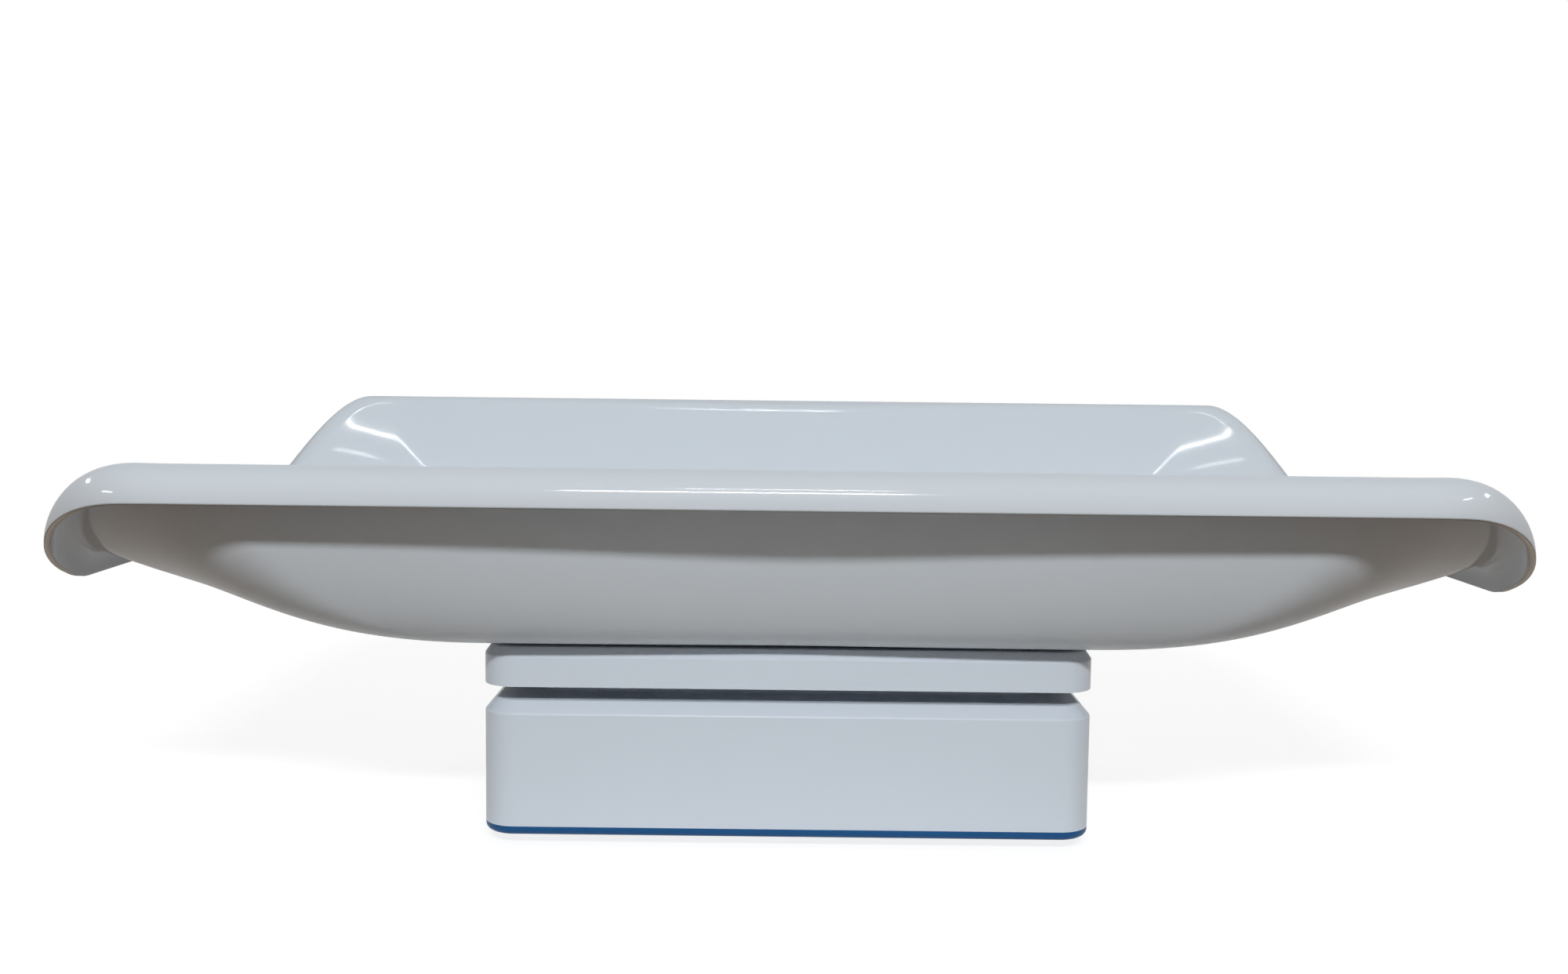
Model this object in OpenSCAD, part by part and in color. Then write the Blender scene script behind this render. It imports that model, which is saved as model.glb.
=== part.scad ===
// Digital baby weighing scale: a thin moulded tray with a rolled lip, carried by a
// platform plate on a single point load cell inside a low housing.
// +X runs along the tray, +Y points from the low rim to the high rim, +Z is up.
// The origin lies on the table, under the middle of the housing.

/* [Tray] */
// Overall length of the tray, over its rolled lips
tray_l = 545.8; // [520:0.1:600]
// Overall depth of the tray, over its rolled lips
tray_d = 320; // [300:1:340]
// Wall of the tray
tray_t = 2; // [1.5:0.1:3]
// Reach of the rolled lip beyond the crest, along the long sides
lip_side = 11.8; // [9:0.1:18]
// Reach of the rolled lip beyond the crest, at the ends
lip_end = 9; // [7:0.1:16]
// Drop of the lip's cut edge below the crest, along the long sides
lip_side_drop = 13; // [10:0.1:16]
// Drop of the lip's cut edge below the crest, at the ends
lip_end_drop = 12.1; // [10:0.1:18]
// How much more the lip drops in the middle of each corner
lip_corner_drop = 1.8; // [0:0.1:4]
// Radius that turns the crest of the rim into the inner wall
roll_r = 8; // [5:0.1:10]
// Radius of the rim's corners in plan
rim_r = 57.5; // [40:0.1:65]
// Length of the flat floor
floor_l = 303; // [240:1:340]
// Depth of the flat floor
floor_d = 187; // [180:1:215]
// Radius of the flat floor's corners
floor_r = 68; // [50:1:80]
// Height of the low rim above the floor
near_h = 67; // [55:0.5:75]
// Height of the high rim above the floor
far_h = 81.1; // [75:0.1:95]
// Height of the scooped ends above the floor
end_h = 29.9; // [22:0.1:45]
// Run past a corner's start where the low rim begins to fall
near_start = 13.7; // [0:0.1:40]
// Length of rim over which the low rim falls to an end
near_fall = 91.9; // [60:0.1:120]
// How late the low rim's fall sets in
near_ease = 1.2; // [1:0.05:1.5]
// Run past a corner's start where the high rim begins to fall
far_start = 12.8; // [0:0.1:30]
// Length of rim over which the high rim falls to an end
far_fall = 68.2; // [50:0.1:100]
// How strongly the long walls curve into the floor
bowl_side = 3.07; // [2.2:0.01:3.6]
// How strongly the end walls curve into the floor
bowl_end = 1.91; // [1.6:0.01:3.2]

/* [Housing] */
// Width of the housing and of the platform plate
base_w = 228; // [222:1:240]
// Depth of the housing and of the platform plate
base_d = 210; // [206:1:220]
// Radius of the housing's corners in plan
base_r = 12; // [9:0.5:14]
// Height of the feet under the pan
foot_h = 4; // [3:0.5:5]
// Height of the coloured pan edge that shows under the cover
pan_edge_h = 3.5; // [3.2:0.1:4.5]
// Height of the cover, from the pan to its flat top
cover_h = 47; // [47:0.5:52]
// Wall of the cover
cover_t = 2.5; // [2:0.1:2.8]
// Radius that softens the moulded edges of the cover and the plate
edge_soft = 1.2; // [0.4:0.1:1.5]
// Chamfer round the top of the cover
cover_chamfer = 4.5; // [3:0.5:6]
// Floor of the pan
pan_t = 3; // [3:0.1:3.2]
// Radius under the edge of the pan
pan_edge_r = 2.6; // [1.5:0.1:3]
// Height of the pan's rib inside the cover
tongue_h = 4; // [3:0.5:6]
// Thickness of the pan's rib
tongue_t = 1.6; // [1.2:0.1:2]
// Width of the raised neck on the cover
neck_w = 188; // [170:1:195]
// Depth of the raised neck on the cover
neck_d = 168; // [150:1:180]
// Height of the raised neck
neck_h = 5; // [4:0.1:5.2]

/* [Platform] */
// Open gap between the cover's top and the platform plate
platform_gap = 5.8; // [5.7:0.1:7]
// Height of the platform plate
plate_h = 14.7; // [14.5:0.1:16]
// Rim wall and top of the platform plate
plate_t = 3; // [2.5:0.1:3.5]
// Height of the chamfer round the plate's top
plate_chamfer_h = 3.5; // [2.5:0.1:4]
// Inset of that chamfer
plate_chamfer = 2.5; // [1.5:0.1:3.5]
// Diameter of the rubber pads under the tray
pad_d = 22; // [16:1:26]
// Thickness of those pads
pad_t = 2; // [2:0.1:2.5]
// How far those pads stand proud of the plate
pad_proud = 1; // [0.8:0.1:1.4]
// Spacing of the pads along the housing
pad_pitch_x = 176; // [160:1:180]
// Spacing of the pads across the housing
pad_pitch_y = 156; // [140:1:160]

/* [Load cell] */
// Length of the bar
cell_l = 130; // [130:1:134]
// Width of the bar
cell_w = 30; // [26:1:32]
// Height of the bar
cell_h = 22; // [20:0.5:22]
// Diameter of the two bores that thin the bar
cell_bore = 14; // [12:0.5:15]
// Distance between those bores
cell_bore_pitch = 24; // [20:1:30]
// Distance between the two screws at each end
cell_screw_pitch = 15; // [14:0.5:16]
// Distance of an end's screw pair from the middle of the bar
cell_screw_x = 50; // [48:0.5:51]
// Thickness of the plate under the fixed end
lower_spacer_t = 4; // [4:0.5:5]
// Thickness of the plate on the free end
upper_spacer_t = 4; // [4:0.5:5]
// Height of the pan's pedestal above its floor
pedestal_h = 5; // [5:0.5:5.5]
// Travel of the free end down to the overload stop
stop_gap = 0.6; // [0.5:0.1:0.9]
// Thickness of the carrier plate under the platform
spider_t = 4; // [3.5:0.5:4.5]

/* [Controls] */
// Distance of the window from the housing's far side
window_inset = 32; // [28:1:40]
// Room between the window and the keys
window_room = 14.8; // [14.5:0.1:20]
// Height of the display window
window_h = 34; // [28:1:35]
// Middle of the window and of the keys above the table
panel_z = 30; // [29:0.5:31]
// Width of a key
key_w = 18; // [16:0.5:18.5]
// Height of a key
key_h = 12; // [10:0.5:12.5]
// Distance of the key block's middle from the housing's side
key_inset = 40.5; // [39:0.5:42]
// Distance between the key columns
key_pitch_x = 21; // [21:0.5:22]
// Distance between the key rows
key_pitch_z = 16; // [15.5:0.5:17]
// How far a key stands proud of the cover
key_proud = 1.5; // [1:0.1:2]
// Place of the rocker switch along the left side
rocker_y = -30; // [-34:1:-26]
// Place of the charging inlet along the left side
inlet_y = -62; // [-66:1:-58]
// Bore of the charging inlet
inlet_bore = 6.4; // [5.5:0.1:6.6]

/* [Battery and boards] */
// Length of the battery
battery_l = 97; // [90:1:98]
// Width of the battery
battery_w = 52; // [45:1:52]
// Height of the battery
battery_h = 24; // [20:1:25]
// Length of the main board
board_l = 90; // [80:1:90]
// Width of the main board
board_w = 55; // [50:1:55]
// Thickness of every circuit board
board_t = 1.6; // [1:0.1:2]
// Height of the main board's standoffs above the pan's floor
standoff_h = 7; // [6:0.5:9]

/* [Hidden] */

$fn = 48;
// Clearances
fit = 0.3;          // a moulded piece in its opening
screw_fit = 0.1;    // radial room round a screw
pin_fit = 0.05;     // radial room round a pivot pin
spill = 1;          // how far a cutting solid runs past the face it cuts

// Levels above the table
pan_z = foot_h;
parting_z = pan_z + pan_edge_h;
pan_floor_z = pan_z + pan_t;
cover_top_z = parting_z + cover_h;
neck_top_z = cover_top_z + neck_h;
plate_z = cover_top_z + platform_gap;
plate_top_z = plate_z + plate_h;
plate_under_z = plate_top_z - plate_t;
tray_under_z = plate_top_z + pad_proud;
floor_z = tray_under_z + tray_t;
pedestal_z = pan_floor_z + pedestal_h;
cell_z = pedestal_z + lower_spacer_t;
cell_top_z = cell_z + cell_h;
hub_z = cell_top_z + upper_spacer_t;
plate_boss_h = 5;
spider_z = plate_under_z - plate_boss_h - spider_t;

// Metric screws: [shaft diameter, head diameter, head height]
m3 = [3, 5.5, 2];
m4 = [4, 7.5, 2];
m6 = [6, 10, 4];

// A screw with its shaft up from z = 0 and its head below
module screw_up(size, length) {
    cylinder(d = size[0], h = length);
    translate([0, 0, -size[2]]) difference() {
        cylinder(d = size[1], h = size[2]);
        translate([0, 0, -spill]) cylinder(d = size[0], h = size[2] / 2 + spill, $fn = 6);
    }
}

// A screw with its shaft down from z = 0 and its head above
module screw_down(size, length) {
    mirror([0, 0, 1]) screw_up(size, length);
}

// Copies at the four corners of a w by d rectangle
module at_corners(w, d) {
    for (sx = [-1, 1], sy = [-1, 1]) translate([sx * w / 2, sy * d / 2, 0]) children();
}

// A block with round corners in plan. Its edge follows points of [inset, height], bottom first.
module edge_block(w, d, r, edge) {
    low = edge[0][1];
    high = edge[len(edge) - 1][1];
    at_corners(w - 2 * r, d - 2 * r) rotate_extrude()
        polygon(concat([[0, low]], [for (p = edge) [r - p[0], p[1]]], [[0, high]]));
    rotate([90, 0, 0]) linear_extrude(d - 2 * r, center = true) half_pair(w / 2, edge);
    rotate([90, 0, 90]) linear_extrude(w - 2 * r, center = true) half_pair(d / 2, edge);
}

module half_pair(half, edge) {
    last = len(edge) - 1;
    polygon(concat([for (p = edge) [half - p[0], p[1]]],
        [for (k = [last : -1 : 0]) [edge[k][0] - half, edge[k][1]]]));
}

// The same points with every inner corner rounded to radius r in a few steps
function softened(points, r, steps = 4) = concat([points[0]],
    [for (k = [1 : len(points) - 2]) each soft_corner(points[k - 1], points[k], points[k + 1], r, steps)],
    [points[len(points) - 1]]);

function soft_corner(a, p, b, r, steps) =
    let (u = (a - p) / norm(a - p), v = (b - p) / norm(b - p), half = acos(u * v) / 2,
         mid = p + (u + v) / norm(u + v) * r / sin(half),
         from = p + u * r / tan(half) - mid, to = p + v * r / tan(half) - mid)
    [for (k = [0 : steps]) let (d = from * (1 - k / steps) + to * k / steps) mid + d / norm(d) * r];

// Points of a round edge of radius r, from the underside up to the side, as [inset, height]
function round_edge(r, z, steps = 4) =
    [for (k = [0 : steps]) let (w = 90 * k / steps) [r * (1 - sin(w)), z + r * (1 - cos(w))]];

// ---------------------------------------------------------------- tray
rim_a = tray_l / 2 - lip_end;
rim_b = tray_d / 2 - lip_side;
floor_a = floor_l / 2;
floor_b = floor_d / 2;
side_steps = 5;
corner_steps = 12;
end_steps = 7;
lip_steps = 6;
roll_steps = 4;
wall_steps = 9;

function smooth(x) = let (c = max(0, min(1, x))) c * c * (3 - 2 * c);

// A quarter of the rim, from the middle of a long side to the middle of an end, as
// [rim x, rim y, run from the corner's start, floor x, floor y, outward x, outward y]
rim_quarter = concat(
    [for (k = [0 : side_steps - 1]) let (t = k / side_steps, x = rim_a - rim_r)
        [t * x, rim_b, (t - 1) * x, t * (floor_a - floor_r), floor_b, 0, 1]],
    [for (k = [0 : corner_steps - 1]) let (w = 90 * k / corner_steps, s = sin(w), c = cos(w))
        [rim_a - rim_r * (1 - s), rim_b - rim_r * (1 - c), rim_r * w * PI / 180,
         floor_a - floor_r * (1 - s), floor_b - floor_r * (1 - c), s, c]],
    [for (k = [0 : end_steps]) let (t = k / end_steps, y = rim_b - rim_r)
        [rim_a, (1 - t) * y, rim_r * PI / 2 + t * y, floor_a, (1 - t) * (floor_b - floor_r), 1, 0]]);

function in_quarter(p, sx, sy) =
    [sx * p[0], sy * p[1], p[2], sx * p[3], sy * p[4], sx * p[5], sy * p[6]];

quarter_last = len(rim_quarter) - 1;
rim = concat(
    [for (k = [0 : quarter_last - 1]) in_quarter(rim_quarter[k], 1, -1)],
    [for (k = [quarter_last : -1 : 1]) in_quarter(rim_quarter[k], 1, 1)],
    [for (k = [0 : quarter_last - 1]) in_quarter(rim_quarter[k], -1, 1)],
    [for (k = [quarter_last : -1 : 1]) in_quarter(rim_quarter[k], -1, -1)]);
rim_count = len(rim);

// Height of the crest above the floor: each long side falls smoothly to the scooped end
function crest_h(p) = p[1] < 0
    ? near_h - (near_h - end_h) * pow(smooth((p[2] - near_start) / near_fall), near_ease)
    : far_h - (far_h - end_h) * smooth((p[2] - far_start) / far_fall);

// Part of the way round its corner that rim sample p has come, from 0 to 1
function turned(p) = max(0, min(1, p[2] / (rim_r * PI / 2)));

// A size of the tray at rim sample p: it changes smoothly round each corner
function blended(p, side, end) = side + (end - side) * smooth(turned(p));

// Upper skin at rim sample p and step j: quarter ellipse of the lip from its cut edge up to
// the crest, the roll over the crest, then a power curve down into the floor
function skin_point(p, j) =
    let (h = crest_h(p), run = norm([p[3] - p[0], p[4] - p[1]]),
         ex = (p[3] - p[0]) / run, ey = (p[4] - p[1]) / run,
         lean = atan(blended(p, bowl_side, bowl_end) * h / run))
    j <= lip_steps
        ? let (w = 90 * (1 - j / lip_steps), n = blended(p, lip_side, lip_end) * sin(w),
               drop = blended(p, lip_side_drop, lip_end_drop)
                   + lip_corner_drop * pow(sin(180 * turned(p)), 2))
          [p[0] + n * p[5], p[1] + n * p[6], floor_z + h - drop * (1 - cos(w))]
        : j <= lip_steps + roll_steps
        ? let (w = lean * (j - lip_steps) / roll_steps, n = roll_r * sin(w))
          [p[0] + n * ex, p[1] + n * ey, floor_z + h - roll_r * (1 - cos(w))]
        : let (t = (j - lip_steps - roll_steps) / wall_steps, start = roll_r * sin(lean),
               drop = h - roll_r * (1 - cos(lean)), power = tan(lean) * (run - start) / drop,
               n = start + (run - start) * t)
          [p[0] + n * ex, p[1] + n * ey, floor_z + drop * pow(1 - t, power)];

skin_last = lip_steps + roll_steps + wall_steps;
skin = [for (j = [0 : skin_last]) [for (p = rim) skin_point(p, j)]];

// Unit normal of the skin, out of its upper face
function skin_normal(i, j) = j == skin_last ? [0, 0, 1] :
    let (round_rim = skin[j][(i + 1) % rim_count] - skin[j][(i + rim_count - 1) % rim_count],
         inward = skin[j + 1][i] - skin[max(j - 1, 0)][i],
         n = cross(round_rim, inward))
    n / norm(n);

under_skin = [for (j = [0 : skin_last]) [for (i = [0 : rim_count - 1])
    skin[j][i] - tray_t * skin_normal(i, j)]];

module tray() {
    color("white") polyhedron(
        points = concat([for (row = skin) each row], [for (row = under_skin) each row],
            [[0, 0, floor_z], [0, 0, tray_under_z]]),
        faces = concat(
            [for (j = [0 : skin_last - 1], i = [0 : rim_count - 1]) each upper_pair(i, j)],
            [for (j = [0 : skin_last - 1], i = [0 : rim_count - 1]) each lower_pair(i, j)],
            [for (i = [0 : rim_count - 1]) each edge_pair(i)],
            [for (i = [0 : rim_count - 1]) [at(i + 1, skin_last, 0), at(i, skin_last, 0), floor_mid]],
            [for (i = [0 : rim_count - 1]) [at(i, skin_last, 1), at(i + 1, skin_last, 1), floor_mid + 1]]));
}

floor_mid = 2 * (skin_last + 1) * rim_count;     // index of the point in the middle of the floor
function at(i, j, side) = side * (skin_last + 1) * rim_count + j * rim_count + i % rim_count;
function upper_pair(i, j) = [[at(i, j, 0), at(i, j + 1, 0), at(i + 1, j + 1, 0)],
    [at(i, j, 0), at(i + 1, j + 1, 0), at(i + 1, j, 0)]];
function lower_pair(i, j) = [[at(i, j, 1), at(i + 1, j + 1, 1), at(i, j + 1, 1)],
    [at(i, j, 1), at(i + 1, j, 1), at(i + 1, j + 1, 1)]];
function edge_pair(i) = [[at(i, 0, 0), at(i + 1, 0, 0), at(i + 1, 0, 1)],
    [at(i, 0, 0), at(i + 1, 0, 1), at(i, 0, 1)]];

// ---------------------------------------------------------------- platform
module tray_pads() {
    color("dimgray") at_corners(pad_pitch_x, pad_pitch_y)
        translate([0, 0, tray_under_z - pad_t]) cylinder(d = pad_d, h = pad_t);
}

plate_bosses = [150, 120];       // spacing of the bosses that take the carrier
boss_d = 12;
rib_t = 2;

module platform_plate() {
    color("white") difference() {
        union() {
            difference() {
                edge_block(base_w, base_d, base_r, softened([[0, plate_z],
                    [0, plate_top_z - plate_chamfer_h], [plate_chamfer, plate_top_z],
                    [2 * plate_chamfer, plate_top_z]], edge_soft));
                edge_block(base_w - 2 * plate_t, base_d - 2 * plate_t, base_r - plate_t,
                    [[0, plate_z - spill], [0, plate_under_z]]);
            }
            at_corners(plate_bosses[0], plate_bosses[1])
                translate([0, 0, spider_z + spider_t]) cylinder(d = boss_d, h = plate_boss_h + spill);
            for (sy = [-1, 1]) plate_rib(base_w, sy * plate_bosses[1] / 2, 0);
            for (sx = [-1, 1]) plate_rib(base_d, -sx * plate_bosses[0] / 2, 90);
        }
        at_corners(pad_pitch_x, pad_pitch_y)
            translate([0, 0, tray_under_z - pad_t]) cylinder(d = pad_d + 2 * screw_fit, h = pad_t);
        at_corners(plate_bosses[0], plate_bosses[1])
            translate([0, 0, spider_z]) cylinder(d = m4[0] + 2 * screw_fit, h = spider_t + plate_boss_h);
    }
}

// A rib under the plate's top, along X or Y
module plate_rib(length, offset, turn) {
    rib_h = plate_boss_h - fit;
    rotate([0, 0, turn]) translate([-length / 2 + plate_t / 2, offset - rib_t / 2, plate_under_z - rib_h])
        cube([length - plate_t, rib_t, rib_h + spill]);
}

hub_l = 36;
hub_w = 28;
arm_w = 26;

module support_spider() {
    color("silver") difference() {
        union() {
            translate([0, 0, spider_z]) for (turn = [-1, 1])
                rotate([0, 0, turn * atan(plate_bosses[1] / plate_bosses[0])])
                    spider_arm(norm(plate_bosses));
            translate([cell_screw_x - hub_l / 2, -hub_w / 2, hub_z])
                cube([hub_l, hub_w, spider_z + spider_t - hub_z]);
            translate([-arm_w / 2, -arm_w / 2, spider_z]) cube([cell_screw_x, arm_w, spider_t]);
        }
        at_corners(plate_bosses[0], plate_bosses[1])
            translate([0, 0, spider_z - spill])
                cylinder(d = m4[0] + 2 * screw_fit, h = spider_t + 2 * spill);
        for (x = cell_screws(1)) translate([x, 0, 0]) {
            translate([0, 0, hub_z - spill]) cylinder(d = m6[0] + 2 * screw_fit, h = spider_z);
            translate([0, 0, hub_z + hub_foot]) cylinder(d = m6[1] + 1, h = spider_z);
        }
    }
}

hub_foot = 6;        // floor of the hub under the screw heads

// A bar with round ends, as long as the distance between its screws
module spider_arm(length) {
    translate([-length / 2, -arm_w / 4, 0]) cube([length, arm_w / 2, spider_t]);
    for (s = [-1, 1]) translate([s * length / 2, 0, 0]) cylinder(d = arm_w / 2, h = spider_t);
}

module spider_screws() {
    color("silver") at_corners(plate_bosses[0], plate_bosses[1])
        translate([0, 0, spider_z]) screw_up(m4, spider_t + plate_boss_h - spill);
}

// Places of the two screws at one end of the bar: -1 is the fixed end, 1 the free end
function cell_screws(end) = [for (s = [-1, 1]) end * cell_screw_x + s * cell_screw_pitch / 2];
cell_screw_depth = 10;

module upper_spacer() {
    color("silver") difference() {
        translate([cell_screw_x - hub_l / 2 + spill, -hub_w / 2, cell_top_z])
            cube([cell_l / 2 - cell_screw_x + hub_l / 2 - spill, hub_w, upper_spacer_t]);
        for (x = cell_screws(1)) translate([x, 0, cell_top_z - spill])
            cylinder(d = m6[0] + 2 * screw_fit, h = upper_spacer_t + 2 * spill);
    }
}

module cell_screws_upper() {
    color("dimgray") for (x = cell_screws(1)) translate([x, 0, hub_z + hub_foot])
        screw_down(m6, hub_foot + upper_spacer_t + cell_screw_depth);
}

// ---------------------------------------------------------------- load cell
module load_cell() {
    color("silver") difference() {
        translate([-cell_l / 2, -cell_w / 2, cell_z]) cube([cell_l, cell_w, cell_h]);
        translate([0, 0, cell_z + cell_h / 2]) rotate([90, 0, 0]) {
            for (s = [-1, 1]) translate([s * cell_bore_pitch / 2, 0, 0])
                cylinder(d = cell_bore, h = cell_w + 2 * spill, center = true);
            cube([cell_bore_pitch, cell_bore / 3, cell_w + 2 * spill], center = true);
        }
        for (x = cell_screws(-1)) translate([x, 0, cell_z - spill])
            cylinder(d = m6[0] + 2 * screw_fit, h = cell_screw_depth + 2 * spill);
        for (x = cell_screws(1)) translate([x, 0, cell_top_z - cell_screw_depth - spill])
            cylinder(d = m6[0] + 2 * screw_fit, h = cell_screw_depth + 2 * spill);
    }
}

gauge_t = 1.2;

module gauge_covers() {
    color("ivory") for (z = [cell_z - gauge_t, cell_top_z])
        translate([-cell_bore_pitch, -cell_w / 2 + 2, z]) cube([2 * cell_bore_pitch, cell_w - 4, gauge_t]);
}

pedestal_l = 32;
pedestal_w = 36;

module lower_spacer() {
    color("silver") difference() {
        translate([-cell_screw_x - pedestal_l / 2, -cell_w / 2, pedestal_z])
            cube([pedestal_l, cell_w, lower_spacer_t]);
        for (x = cell_screws(-1)) translate([x, 0, pedestal_z - spill])
            cylinder(d = m6[0] + 2 * screw_fit, h = lower_spacer_t + 2 * spill);
    }
}

pan_counterbore = 5;       // depth of the screw pockets under the pan's pedestal

module cell_screws_lower() {
    color("dimgray") for (x = cell_screws(-1)) translate([x, 0, pan_z + pan_counterbore])
        screw_up(m6, cell_z - pan_z - pan_counterbore + cell_screw_depth);
}

stop_d = 8;
stop_boss_d = 18;
stop_nut_h = 4;
stop_nut_w = 13;
stop_boss_h = cell_z - stop_gap - pan_floor_z - stop_nut_h - spill;

module overload_stop() {
    color("dimgray") translate([cell_screw_x, 0, pan_z + spill])
        cylinder(d = stop_d, h = cell_z - stop_gap - pan_z - spill);
}

module stop_nut() {
    color("silver") translate([cell_screw_x, 0, pan_floor_z + stop_boss_h]) difference() {
        cylinder(d = stop_nut_w / cos(30), h = stop_nut_h, $fn = 6);
        translate([0, 0, -spill]) cylinder(d = stop_d + 2 * screw_fit, h = stop_nut_h + 2 * spill);
    }
}

// ---------------------------------------------------------------- housing
inner_w = base_w - 2 * cover_t;
inner_d = base_d - 2 * cover_t;
wall_y = base_d / 2;                 // outer face of the panel wall
panel_in_y = wall_y - cover_t;       // its inner face
pillar_d = 9;
pillar_pitch = [base_w - 32, base_d - 32];
pillar_z = pan_floor_z + 2;          // foot of the cover's pillars
switch_wall_x = -base_w / 2;
hub_hole = [hub_l + 14, hub_w + 14];
neck_r = 8;

key_flange = 1.2;
key_flange_edge = 1.2;               // reach of the flange beyond the cap
key_x = key_inset - base_w / 2;
window_left = key_x + key_pitch_x / 2 + key_w / 2 + key_flange_edge + window_room;
window_right = base_w / 2 - window_inset;
window_w = window_right - window_left;
window_x = (window_left + window_right) / 2;
window_t = 1.5;
window_frame = 4;                    // width of the ledge behind the window
key_seat = 0.1;                      // gap between a key's flange and the wall
display_boss = [[window_x - window_w / 2 - 10, 15], [window_x - window_w / 2 - 10, 45],
                [window_x + window_w / 2 + 7, 15], [window_x + window_w / 2 + 7, 45]];
display_board_y = wall_y - 10.5;     // front face of the upright board
display_boss_d = 6;

module key_places() {
    for (sx = [-1, 1], sz = [-1, 1])
        translate([key_x + sx * key_pitch_x / 2, 0, panel_z + sz * key_pitch_z / 2]) children();
}

// A prism along Y with round corners, centred on x and z, from y = 0 outwards
module panel_block(w, h, r, depth) {
    rotate([-90, 0, 0]) linear_extrude(depth) {
        square([w - 2 * r, h], center = true);
        square([w, h - 2 * r], center = true);
        for (sx = [-1, 1], sy = [-1, 1]) translate([sx * (w / 2 - r), sy * (h / 2 - r)]) circle(r);
    }
}

module base_cover() {
    color("white") difference() {
        union() {
            difference() {
                union() {
                    edge_block(base_w, base_d, base_r, softened([[0, parting_z],
                        [0, cover_top_z - cover_chamfer], [cover_chamfer, cover_top_z],
                        [1.5 * cover_chamfer, cover_top_z]], edge_soft));
                    edge_block(neck_w, neck_d, neck_r, softened([[0, cover_top_z - spill], [0, neck_top_z],
                        [2 * edge_soft, neck_top_z]], edge_soft));
                }
                edge_block(inner_w, inner_d, base_r - cover_t, [[0, parting_z - spill],
                    [0, cover_top_z - cover_chamfer], [cover_chamfer, cover_top_z - cover_t]]);
                edge_block(neck_w - 2 * cover_t, neck_d - 2 * cover_t, neck_r - cover_t,
                    [[0, cover_top_z - cover_t - spill], [0, neck_top_z - cover_t]]);
            }
            at_corners(pillar_pitch[0], pillar_pitch[1]) translate([0, 0, pillar_z])
                cylinder(d = pillar_d, h = cover_top_z - cover_t - pillar_z + spill / 2);
            for (p = display_boss) translate([p[0], display_board_y, p[1]]) rotate([-90, 0, 0])
                cylinder(d = display_boss_d, h = panel_in_y - display_board_y + spill);
        }
        translate([cell_screw_x - hub_hole[0] / 2, -hub_hole[1] / 2, cover_top_z - 2 * cover_t])
            cube([hub_hole[0], hub_hole[1], neck_top_z]);
        at_corners(pillar_pitch[0], pillar_pitch[1]) translate([0, 0, pillar_z - spill])
            cylinder(d = m3[0] + 2 * screw_fit, h = cover_screw_l + spill);
        for (p = display_boss) translate([p[0], display_board_y - spill, p[1]]) rotate([-90, 0, 0])
            cylinder(d = m3[0] + 2 * screw_fit, h = board_screw_l + spill);
        translate([window_x, wall_y - window_t - fit, panel_z]) panel_block(window_w, window_h, 3, cover_t);
        translate([window_x, panel_in_y - spill, panel_z])
            panel_block(window_w - 2 * window_frame, window_h - 2 * window_frame, 2, 2 * cover_t);
        key_places() translate([0, panel_in_y - spill, 0])
            panel_block(key_w + 2 * fit, key_h + 2 * fit, 2 + fit, 2 * cover_t);
        translate([switch_wall_x + cover_t / 2, rocker_y, panel_z])
            cube([cover_t + 2 * spill, rocker_body[0] + fit, rocker_body[1] + fit], center = true);
        translate([switch_wall_x - spill, inlet_y, panel_z]) rotate([0, 90, 0])
            cylinder(d = inlet_barrel + 2 * screw_fit, h = cover_t + 2 * spill);
    }
}

foot_d = 20;
foot_seat = 1.5;         // depth of the foot pockets under the pan
foot_pitch = [base_w - 56, base_d - 56];
foot_peg = 5;
cover_screw_l = 12;
board_screw_l = 6;
standoff_d = 7;
board_inset = [19.5, 20.5];          // distance of the main board from the walls
board_x = board_l / 2 + board_inset[0] - inner_w / 2;
board_y = inner_d / 2 - board_inset[1] - board_w / 2;
board_holes = [board_l - 8, board_w - 8];
battery_x = 18;
strap_w = 16;
strap_t = 1.2;
strap_ear = 9;
battery_y = battery_w / 2 + strap_ear + strap_t + 2 * fit + tongue_t + spill - inner_d / 2;
cradle_h = 8;
cradle_t = 1.6;

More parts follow.
